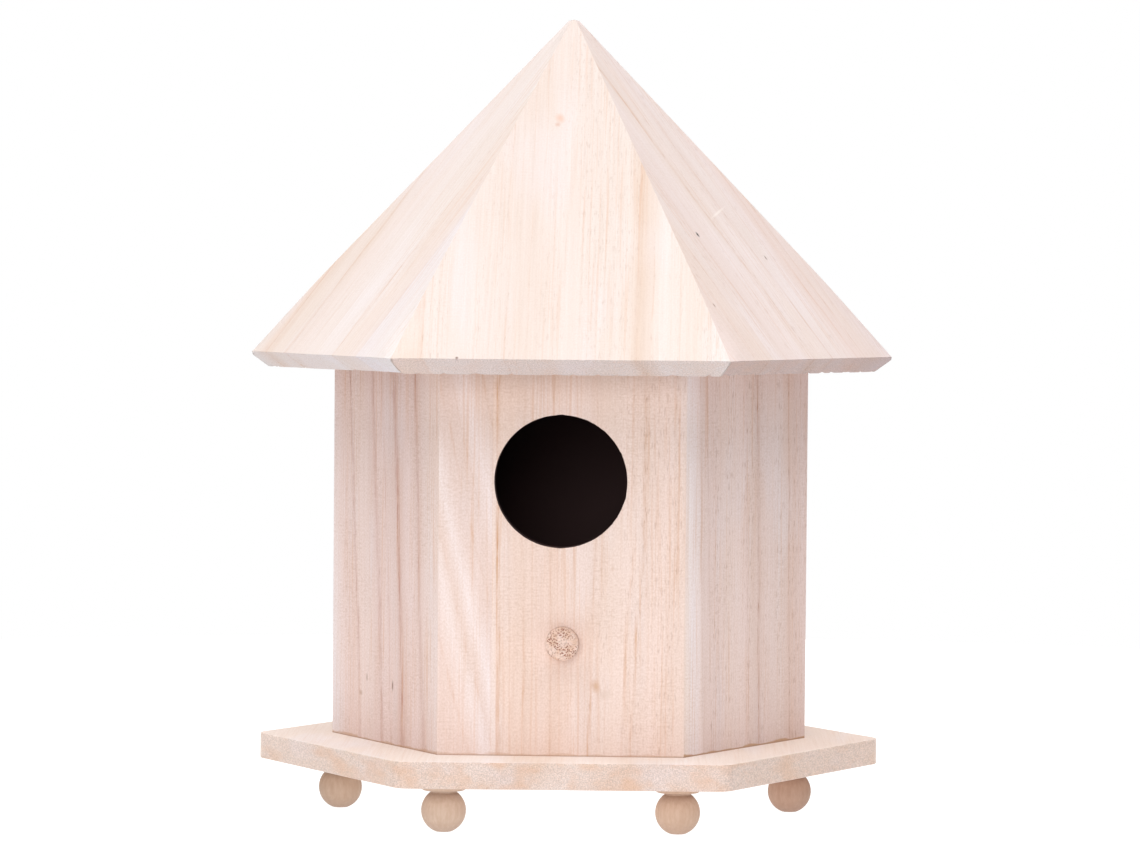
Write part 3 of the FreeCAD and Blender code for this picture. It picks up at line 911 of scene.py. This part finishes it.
def painted_bore_shade(tree, board, parts, wood, u, v, radius):
    """Paints shade, nearly black, on a hole's own wall, nearly up to its front rim."""
    away = add(tree, "VectorMath", {0: board, 1: (1, 1, 0), 2: (-u, -v, 0)}, operation="MULTIPLY_ADD")
    away = add(tree, "VectorMath", {0: away}, out=1, operation="LENGTH")
    near = add(tree, "Math", {0: away, 1: radius + 0.5}, operation="LESS_THAN")
    deep = add(tree, "MapRange", {"Value": parts.outputs[2], "From Min": -0.25, "From Max": -0.45})
    deep = add(tree, "Math", {0: deep, 1: near}, operation="MULTIPLY")
    return add(tree, "Mix", {0: deep, 6: wood, 7: PAINTED_HOLE_SHADE}, out=2, data_type="RGBA")


# %% a board of paulownia
def add_surface(tree, colour, bump, roughness, ior):
    """The shader and the output: bare sanded wood scatters light and has no gloss to speak of."""
    finish = {"Base Color": colour, "Normal": bump, "Roughness": roughness, "IOR": ior}
    surface = add(tree, "BsdfPrincipled", finish)
    add(tree, "OutputMaterial", {"Surface": surface})


def paulownia(
    name, axes, origin, seed, figures, marks=(), glue=0.0, inside=None, inside_from=-99.0, bore=None,
    line_part=0.6, streak_part=0.5, pore_part=0.35, pore_edge=None, fuzz=0.05, tint=(1.0, 1.0, 1.0),
    line_tone="#c4936c", end_tint=(0.95, 0.90, 0.84), end_grain=0.1, end_from=0.45, stain=0.0,
):
    """The material of one board, put on in the order that a maker would see it happen: the wood's
    own figure, what the saw and the sandpaper did, and marks and glue; last comes painted shade,
    nearly black, on the inside. The parts are strengths, and tint and end_tint lighten or darken this
    board's red, green and blue."""
    material, tree = new_material(name)
    board = board_mm(tree, *axes, origin)
    parts = add(tree, "SeparateXYZ", {0: board}).node
    bands, rings = laid_strips(tree, board, parts, seed, figures)
    wood, speck = sanded_grain(tree, board, bands, seed, fuzz, tint)
    wood, crowd = streaked(tree, board, wood, rings, seed, streak_part, line_part, line_tone)
    wood, pore = pored(tree, board, parts, wood, crowd, seed, pore_part, pore_edge)
    wood = end_cut(tree, board, axes[1], wood, seed, end_tint, end_grain, end_from, stain)
    wood = marked(tree, board, wood, marks)
    if glue:
        wood = glued_foot(tree, board, parts, wood, seed, glue)
    if inside is not None:
        wood = painted_inside_shade(tree, parts, wood, inside, inside_from)
    if bore is not None:
        wood = painted_bore_shade(tree, board, parts, wood, *bore)
    # relief: the vessels lie 0.03 mm deep, and the fuzz stands a few thousandths proud
    relief = add(tree, "Math", {0: pore, 1: -1.0, 2: speck}, operation="MULTIPLY_ADD")
    bump = add(tree, "Bump", {"Height": relief, "Strength": 0.35, "Distance": 0.03 * MM})
    add_surface(tree, wood, bump, roughness=0.82, ior=1.5)
    return material


# %% [markdown]
# ## The figures of the boards
# Each board was cut from another place in the plank, so each has its own bands and lines. Their
# places are millimetres to the right of the board's middle, measured across the grain.

# %% figures of the walls
FRONT_STRIP = dict(
    lean=0.25,
    tones=[
        (-34, "#e2c9bf"), (-24, "#e2c9bf"), (-19.5, "#e7d3cc"), (-16.5, "#e0c7bc"), (-13.7, "#e8d5cf"),
        (-10.5, "#e0c7bd"), (-6.5, "#dfc5ba"), (-1.8, "#e7d3cd"), (3.5, "#dec3b6"), (9, "#e2c9be"),
    ],
    lines=[
        (-24, 0.6, 0.3), (-17.2, 0.5, 0.25), (-8.6, 0.5, 0.35), (-5.2, 0.4, 0.3), (3.6, 0.6, 0.5),
        (6, 0.4, 0.3),
    ],
    wander=1.0,
)
FRONT_MAIN = dict(
    lean=0.0,
    tones=[
        (-19, "#e6d0c6"), (-17.4, "#e4cabd"), (-10, "#e0c5b7"), (-5, "#e3c9bd"), (-2, "#e1c5b7"),
        (3, "#e4cabe"), (9, "#e0c5b7"), (13, "#e2cabe"), (17.5, "#e5cdc2"), (22, "#e1c8bc"),
        (27, "#e4cbc0"), (32, "#e0c7bb"),
    ],
    lines=[
        (-16.7, 1.1, 0.85), (-13.6, 0.4, 0.35), (-10, 0.5, 0.6), (-2.4, 0.6, 0.65), (3.2, 0.5, 0.3),
        (8.8, 0.5, 0.6), (18.4, 0.6, 0.4), (21.3, 0.8, 0.7), (30.4, 1.0, 0.35),
    ],
    wander=0.6,
    fan=3.9,
)
LEFT_WALL = dict(
    lean=0.07,
    tones=[
        (-30, "#e8d8d4"), (-24, "#e6cfc8"), (-17.5, "#e3c9c0"), (-13, "#e6cfc7"), (-7, "#e4cdc5"),
        (-2, "#dfc5bd"), (3.5, "#e4ccc5"), (8, "#dfc7c0"), (12.8, "#dabeb4"), (19, "#e6cfc9"),
        (25, "#dec4bb"), (30, "#e6d0c8"), (37, "#ead3c9"),
    ],
    lines=[(-15.3, 1.3, 0.7), (-1.0, 1.6, 0.6), (4.6, 1.2, 0.3), (12.2, 2.1, 0.85), (24.8, 1.6, 0.6)],
    wander=0.9,
)
RIGHT_WALL = dict(
    lean=0.03,
    tones=[
        (-32, "#efdacf"), (-28, "#efdfdb"), (-23.4, "#ead6d0"), (-22.6, "#e1cac2"), (-16, "#e1c9c1"),
        (-9, "#e4cdc4"), (-2, "#e6cfc7"), (1, "#e3cbc3"), (4, "#dec6bc"), (8, "#dac0b6"),
        (11, "#e0c9c1"), (20, "#dfc9c1"), (24.5, "#dabfb4"), (33, "#ddc5be"),
    ],
    lines=[
        (-22.4, 0.5, 0.2), (-18.6, 0.5, 0.45), (-14.2, 0.4, 0.35), (1.6, 0.5, 0.35), (7.6, 0.9, 0.75),
        (24.4, 0.7, 0.9), (27.5, 0.5, 0.3),
    ],
    wander=0.6,
)

# %% figures of the roof panels
ROOF_FRONT = dict(
    lean=0.0,
    tones=[
        (-42, "#decabd"), (-35.8, "#ddcabf"), (-34.6, "#ded1ca"), (-24, "#ded0c9"), (-14, "#dccdc5"),
        (-9, "#dbcbc2"), (0, "#ded0c9"), (12, "#dccec6"), (17, "#ddcfc7"), (20.4, "#d7c2b4"),
        (23, "#dbcac0"), (26, "#dfd4ce"), (34, "#ddcec5"), (40, "#dfd5cf"),
    ],
    lines=[
        (-35.6, 0.4, 0.6), (-15.2, 0.35, 0.55), (-12.2, 0.25, 0.4), (-9.6, 0.3, 0.5), (-6.4, 0.25, 0.35),
        (4.8, 0.35, 0.5), (11, 0.3, 0.25), (19.8, 1.6, 0.35), (23.6, 0.3, 0.5),
    ],
    wander=0.8,
)
ROOF_LEFT = dict(
    lean=-0.02,
    tones=[
        (-42, "#d8cac3"), (-36, "#d8c5bb"), (-31, "#d6c1b5"), (-26, "#dac9c0"), (-20, "#d7c3b8"),
        (-15, "#dccbc4"), (-4, "#ddcec8"), (8, "#ddcec7"), (14, "#dccac1"), (22.5, "#dccbc4"),
        (24.5, "#dccfcd"), (40, "#ddd1cd"),
    ],
    lines=[(-33, 0.7, 0.8), (-20.6, 0.8, 0.8), (-12, 0.4, 0.25), (10.3, 0.6, 0.6), (23.4, 0.4, 0.45)],
    wander=0.8,
)
ROOF_RIGHT = dict(
    lean=0.06,
    tones=[
        (-40, "#dac8c1"), (-28, "#dac7bd"), (-21, "#dbcbc4"), (-15, "#dac8c1"), (-6, "#ddcdc7"),
        (-1, "#dac8bf"), (5, "#ddcdc6"), (9, "#dac9c2"), (14, "#dccdc7"), (23, "#d9c5bd"),
        (30, "#d8c6be"), (42, "#d5c4bf"),
    ],
    lines=[
        (-25, 0.8, 0.5), (-16, 0.6, 0.5), (-1, 0.9, 0.75), (9, 0.5, 0.65), (23.2, 0.5, 0.65),
        (27.4, 0.5, 0.65),
    ],
    wander=0.9,
)

# %% figure of the base board
BASE_STRIP = dict(
    lean=0.02,
    tones=[
        (-45, "#e3cdbf"), (-20, "#e6d2c6"), (-8, "#e0c7b6"), (4, "#e7d4c9"), (15, "#e0c7b7"),
        (30, "#e5d0c4"), (45, "#e2cabb"),
    ],
    lines=[(-30, 1.2, 0.3), (-12, 0.8, 0.35), (2, 1.0, 0.3), (14, 0.8, 0.35), (33, 1.0, 0.3)],
    wander=2.5,
    tilt=1.4,
)

# %% give the boards their wood
def side_axes(turn, along, out):
    """A board's three directions, turned to its side of the house."""
    spin = Euler((0, 0, math.radians(turn))).to_matrix()
    return [spin @ Vector(v) for v in ((1, 0, 0), along, out)]


wall_figures = {
    "front": [(None, FRONT_STRIP), (-18.3, FRONT_MAIN)],
    "front_left": [(None, LEFT_WALL)],
    "front_right": [(None, RIGHT_WALL)],
    "back": [(None, RIGHT_WALL)],
    "back_left": [(None, FRONT_MAIN)],
    "back_right": [(None, LEFT_WALL)],
}
wall_marks = {
    "front": [(9.2, 18.6, 1.5, 2.2, 15, "#c9a183", 0.75), (11.6, 16.4, 2.6, 1.8, 30, "#d6bfb2", 0.6),
              (13.4, 49.5, 0.5, 0.8, 0, "#c9a68e", 0.4)],
    "front_left": [(-10.6, 17.0, 0.6, 1.5, 0, "#a88a78", 0.7), (5.4, 16.0, 0.6, 1.8, 0, "#86685a", 0.9),
                   (-14.4, 12.5, 1.2, 1.0, 0, "#b8957f", 0.7)],
}
wall_looks = {
    "front": dict(
        fuzz=0.08, line_part=0.65, streak_part=0.5, pore_part=0.25, pore_edge=4.0,
        tint=(1.0, 1.03, 1.05), glue=0.4,
    ),
    "front_left": dict(
        fuzz=0.1, line_part=0.9, streak_part=0.6, pore_part=0.3, line_tone="#b8897b",
        tint=(0.97, 0.98, 0.99), glue=0.6,
    ),
    "front_right": dict(
        fuzz=0.08, line_part=0.65, streak_part=0.5, pore_part=0.4, pore_edge=-24.0, line_tone="#b88c78",
        tint=(0.99, 1.01, 1.03), glue=0.9
    ),
}
PAINTED_SHADE_DEPTH = 0.5  # how thick the painted shade inside a board is
for number, (side, turn) in enumerate(SIDES.items()):
    axes = side_axes(turn, (0, 0, 1), (0, -1, 0))
    origin = axes[2] * wall_face + Vector((0, 0, board_top))
    look = dict(dict(glue=0.7), **wall_looks.get(side, {}))
    if side == "front":
        # the entry hole's own wall gets painted shade, nearly black
        look["bore"] = (entry_centre[0], entry_centre[2] - board_top, entry_radius)
    wood = paulownia(
        f"raw paulownia, wall {side}", axes, origin, 11.0 * number, wall_figures[side],
        marks=wall_marks.get(side, ()), inside=wall_thickness - PAINTED_SHADE_DEPTH, **look,
    )
    give(walls[side], wood)

roof_figures = {
    "front": ROOF_FRONT, "front_left": ROOF_LEFT, "front_right": ROOF_RIGHT,
    "back": ROOF_RIGHT, "back_left": ROOF_FRONT, "back_right": ROOF_LEFT,
}
roof_marks = {
    "front": [(-2.6, 83.0, 1.6, 2.2, 20, "#dcae96", 0.6), (-3.2, 80.8, 1.0, 1.0, 0, "#c9977c", 0.5),
              (-26.8, 0.4, 0.55, 0.5, 0, "#6d4c3c", 0.9)],
    "front_right": [(-16.6, 42.7, 0.7, 1.1, 0, "#2a1d18", 1.0), (11.2, 34.9, 0.5, 1.0, 0, "#7a5a48", 0.8),
                    (-33.8, 18.6, 0.5, 0.9, 0, "#8a6a58", 0.7), (2.4, 50.5, 7.4, 0.5, 20, "#efe4de", 0.7)],
}
roof_looks = {
    "front": dict(
        line_part=0.3, streak_part=0.35, pore_part=0.25, end_tint=(0.85, 0.85, 0.89),
        end_grain=0.17, stain=0.12,
    ),
    "front_left": dict(
        line_part=0.5, streak_part=0.3, pore_part=0.2, tint=(1.05, 1.08, 1.09),
        end_tint=(0.89, 0.92, 0.97),
    ),
    "front_right": dict(
        line_part=0.5, streak_part=0.35, pore_part=0.3, tint=(1.05, 1.06, 1.08),
        end_tint=(0.70, 0.66, 0.67), end_grain=0.2, stain=0.15,
    ),
}
BEHIND_WALL = 28.0  # how far up the slope from the eave a panel's inner face is inside the house, where its painted shade starts
for number, (side, turn) in enumerate(SIDES.items()):
    axes = side_axes(turn, UP_SLOPE, OFF_ROOF)
    origin = side_axes(turn, eave_top * np.array([0, 1, 1]), OFF_ROOF)[1]
    wood = paulownia(
        f"raw paulownia, roof {side}", axes, origin, 100 + 13.0 * number, [(None, roof_figures[side])],
        marks=roof_marks.get(side, ()), inside=roof_thickness - PAINTED_SHADE_DEPTH, inside_from=BEHIND_WALL,
        fuzz=0.03, **roof_looks.get(side, {}),
    )
    give(roofs[side], wood)

base_axes = side_axes(twist, (0, 1, 0), (0, 0, 1))
base_strips = [(None, BASE_STRIP), (-26.0, dict(BASE_STRIP, tilt=-1.1)), (28.0, dict(BASE_STRIP, tilt=0.9))]
wood = paulownia(
    "raw paulownia, base board", base_axes, Vector((0, 0, board_top)), 310.0, base_strips,
    fuzz=0.05, line_part=0.3, streak_part=0.2, pore_part=0.1, tint=(1.06, 1.15, 1.22),
    end_tint=(0.82, 0.755, 0.73), end_from=0.25, stain=0.42, end_grain=0.2,
)
give(base, wood)

# %% [markdown]
# ## Turned and sawn hardwood
# The feet are a closer, tanner wood than the boards, turned with its grain running up and down.
# The ball shows fine rings from the tool and a slight glow from rubbing on the lathe. The dowel
# shows its sawn end, so its wood needs the pits darker than the flats between them.

# %% wood of the feet
def mm_from(tree, centre):
    """Object coordinates as millimetres from the piece's own centre."""
    moved = {"Scale": (1 / MM,) * 3, "Location": -Vector(centre)}
    place = add(tree, "TexCoord", out=3)
    return add(tree, "Mapping", dict(moved, Vector=place), vector_type="POINT")


def turned_hardwood(name, centre, seed, tint):
    """Close hardwood: faint upright streaks 1 mm wide, a fine mottle, and darker where the lathe
    cut across the grain, at the top and the bottom, which also paints the shade under the ball and under
    the board."""
    material, tree = new_material(name)
    mm = mm_from(tree, centre)
    streak = noise_at(tree, mm, (0.9, 0.9, 11), seed, 0.35, 0.65)
    wood = add(tree, "Mix", {0: streak, 6: tone("#d5b79f"), 7: tone("#cdad94")}, out=2, data_type="RGBA")
    mottle = noise_at(tree, mm, (0.45, 0.45, 1.4), seed + 1, 0.35, 0.7, (0.0, 0.2), 3.0)
    wood = add(tree, "Mix", {0: mottle, 6: wood, 7: tone("#b48d72")}, out=2, data_type="RGBA")
    # darker where the surface faces up or down: end grain, and painted shade at the ball's underside and
    # under the board
    normal = add(tree, "TexCoord", out=1)
    ends = add(tree, "VectorMath", {0: normal, 1: (0, 0, 1)}, out=1, operation="DOT_PRODUCT")
    ends = add(tree, "Math", {0: ends}, operation="ABSOLUTE")
    ends = add(tree, "MapRange", {"Value": ends, "From Min": 0.35, "From Max": 1.0, "To Max": 0.55})
    wood = add(tree, "Mix", {0: ends, 6: wood, 7: tone("#ab8a76")}, out=2, data_type="RGBA")
    tint = tint + (1.0,)
    wood = add(tree, "Mix", {0: 1.0, 6: wood, 7: tint}, out=2, data_type="RGBA", blend_type="MULTIPLY")
    bump = add(tree, "Bump", {"Height": mottle, "Strength": 0.5, "Distance": 0.06 * MM})
    add_surface(tree, wood, bump, roughness=0.62, ior=1.5)
    return material


# no two feet come from the same blank, so their tan differs; the left and right feet are also darker by
# painted shade, for the shade that the board throws on them
foot_tint_and_shade = {
    "front_left": (0.89, 0.93, 0.99), "front_right": (0.88, 0.87, 0.89), "left": (0.73, 0.73, 0.74),
    "right": (0.69, 0.62, 0.62), "back_left": (0.84, 0.82, 0.84), "back_right": (0.88, 0.89, 0.91),
}
for number, (place, centre) in enumerate(foot_centre.items()):
    wood = turned_hardwood(f"turned hardwood, foot {place}", centre, 3.0 * number, foot_tint_and_shade[place])
    give(feet[place], wood)


# %% wood of the dowel
def sawn_dowel(name, centre, seed):
    """A sawn dowel: on its end, the vessels are dark pits 0.3 mm across, placed at random about
    half a millimetre apart and thick in some patches, between flats of pale torn fibre."""
    material, tree = new_material(name)
    mm = mm_from(tree, centre)
    mottle = noise_at(tree, mm, (2.2, 8, 2.2), seed, 0.35, 0.65)
    wood = add(tree, "Mix", {0: mottle, 6: tone("#e2c8bc"), 7: tone("#d8b6a2")}, out=2, data_type="RGBA")
    fine = noise_at(tree, mm, (0.5, 6, 0.5), seed + 1, 0.35, 0.65, (0.86, 1.1), 3.0)
    wood = add(tree, "Mix", {0: 1.0, 6: wood, 7: fine}, out=2, data_type="RGBA", blend_type="MULTIPLY")
    parts = add(tree, "SeparateXYZ", {0: mm}).node
    flat = add(tree, "CombineXYZ", {0: parts.outputs[0], 1: parts.outputs[2]})
    bent = add(tree, "TexNoise", {"Vector": flat, "Scale": 1.3, "Detail": 1.0}, out=1)
    flat = add(tree, "VectorMath", {0: bent, 1: (0.5, 0.5, 0), 2: flat}, operation="MULTIPLY_ADD")
    scatter = {"Vector": flat, "Scale": 1.9, "Randomness": 1.0}
    cell = add(tree, "TexVoronoi", scatter, voronoi_dimensions="2D")
    pit = add(tree, "MapRange", {"Value": cell, "From Min": 0.36, "From Max": 0.25})
    thick = noise_at(tree, flat, (2.4, 2.4, 2.4), seed + 2, 0.38, 0.56, (0.12, 1.0), 1.0)
    pit = add(tree, "Math", {0: pit, 1: thick}, operation="MULTIPLY")
    normal = add(tree, "TexCoord", out=1)
    ends = add(tree, "VectorMath", {0: normal, 1: (0, -1, 0)}, out=1, operation="DOT_PRODUCT")
    ends = add(tree, "MapRange", {"Value": ends, "From Min": 0.5, "From Max": 0.8})
    pit = add(tree, "Math", {0: pit, 1: ends}, operation="MULTIPLY")
    amount = add(tree, "Math", {0: pit, 1: 0.9}, operation="MULTIPLY")
    wood = add(tree, "Mix", {0: amount, 6: wood, 7: tone("#8c4f39")}, out=2, data_type="RGBA")
    relief = add(tree, "Math", {0: pit, 1: -1.5, 2: fine}, operation="MULTIPLY_ADD")
    bump = add(tree, "Bump", {"Height": relief, "Strength": 0.6, "Distance": 0.12 * MM})
    add_surface(tree, wood, bump, roughness=0.78, ior=1.5)
    return material


give(perch, sawn_dowel("sawn dowel", perch_centre, 50.0))

# %% [markdown]
# ## What each piece stands for
# Every skin rides on the house's one body and stands for the CAD node it was measured from.

# %% ride on the body, hide the CAD piece and compare boxes
made = {f"wall_{side}": piece for side, piece in walls.items()}
made.update({f"roof_{side}": piece for side, piece in roofs.items()})
made.update({f"foot_{place}": piece for place, piece in feet.items()})
made.update({"base_board": base, "perch": perch})
for node, piece in made.items():
    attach(piece, "root")
    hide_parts(node)
    cad_low, cad_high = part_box(node)
    bpy.context.view_layer.update()
    low = np.min([c[:] for c in piece.bound_box], axis=0)
    high = np.max([c[:] for c in piece.bound_box], axis=0)
    gap = max(np.abs(low - np.array(cad_low)).max(), np.abs(high - np.array(cad_high)).max())
    print(f"{node}: box within {gap / MM:.2f} mm of the CAD piece's")

# %% [markdown]
# ## Floor, light and camera
# The house stands on a white table that is lit from below, as small goods often are, so there is
# no shadow under it and the feet and eaves get some light from beneath. A broad lamp in front of
# it and a softer one overhead do the modelling: the front wall is bright, the two beside it are
# darker, and the roof is lighter than all of them because it leans towards the upper lamp. Bare
# wood has no gloss, so nothing has to be seen in it, and the background is plain white.

# %% the floor
table_radius = 600.0
floor_mesh = bpy.data.meshes.new("floor")
disc = lathe([(table_radius, 0)], 64)[0] * MM
floor_mesh.from_pydata(disc.tolist(), [], [list(range(len(disc)))])
print(f"table of {table_radius:.0f} mm radius")
floor = bpy.data.objects.new("floor", floor_mesh)
bpy.context.scene.collection.objects.link(floor)
material, tree = new_material("lit white table")
table = {"Base Color": tone("#7c7c7c"), "Roughness": 0.9}
glow = {"Emission Color": (1, 1, 1, 1), "Emission Strength": 0.98}
add(tree, "OutputMaterial", {"Surface": add(tree, "BsdfPrincipled", dict(table, **glow))})
give(floor, material)

# %% the lamps and the surroundings
def sun(name, towards, strength, angle):
    """A distant lamp, shining from a direction, with an apparent width that softens its shadows."""
    lamp = bpy.data.lights.new(name, "SUN")
    lamp.energy = strength
    lamp.angle = math.radians(angle)
    holder = bpy.data.objects.new(name, lamp)
    holder.rotation_euler = Vector(towards).to_track_quat("Z", "Y").to_euler()
    bpy.context.scene.collection.objects.link(holder)
    print(f"{name}: strength {strength}, {angle} degrees wide")


sun("front_lamp", (-0.14, -1.0, 0.2), 1.07, 30)
sun("top_lamp", (-0.02, -0.05, 1.0), 3.6, 90)
world = bpy.data.worlds.new("studio")
bpy.context.scene.world = world
world.use_nodes = True
tree = world.node_tree
tree.nodes.clear()
camera_ray = add(tree, "LightPath", out=0)
strength = add(tree, "MapRange", {"Value": camera_ray, "To Min": 0.24, "To Max": 1.0})
sky = add(tree, "Background", {"Color": (1, 1, 1, 1), "Strength": strength})
add(tree, "OutputWorld", {"Surface": sky})
bpy.context.scene.view_settings.view_transform = "Standard"

# %% the camera
azimuth, pitch, roll = (math.radians(a) for a in (2.09, 2.03, 0.477))
distance = 1298.0
aim_left = 0.16
aim_height = board_top + 84.66
back = Vector((math.sin(azimuth) * math.cos(pitch), -math.cos(azimuth) * math.cos(pitch), math.sin(pitch)))
right = Vector((math.cos(azimuth), math.sin(azimuth), 0))
up = back.cross(right)
level_right = math.cos(roll) * right + math.sin(roll) * up
level_up = math.cos(roll) * up - math.sin(roll) * right
eye = Vector((0, 0, aim_height)) - aim_left * right + distance * back
lens = bpy.data.cameras.new("camera")
lens.lens = 149.3
lens.sensor_width = 36.0
lens.clip_start, lens.clip_end = 0.05, 100
camera = bpy.data.objects.new("camera", lens)
turn = Matrix((level_right, level_up, back)).transposed().to_4x4()
camera.matrix_world = Matrix.Translation(eye * MM) @ turn
bpy.context.scene.collection.objects.link(camera)
bpy.context.scene.camera = camera
print(f"camera {distance:.0f} mm away with a {lens.lens} mm lens")
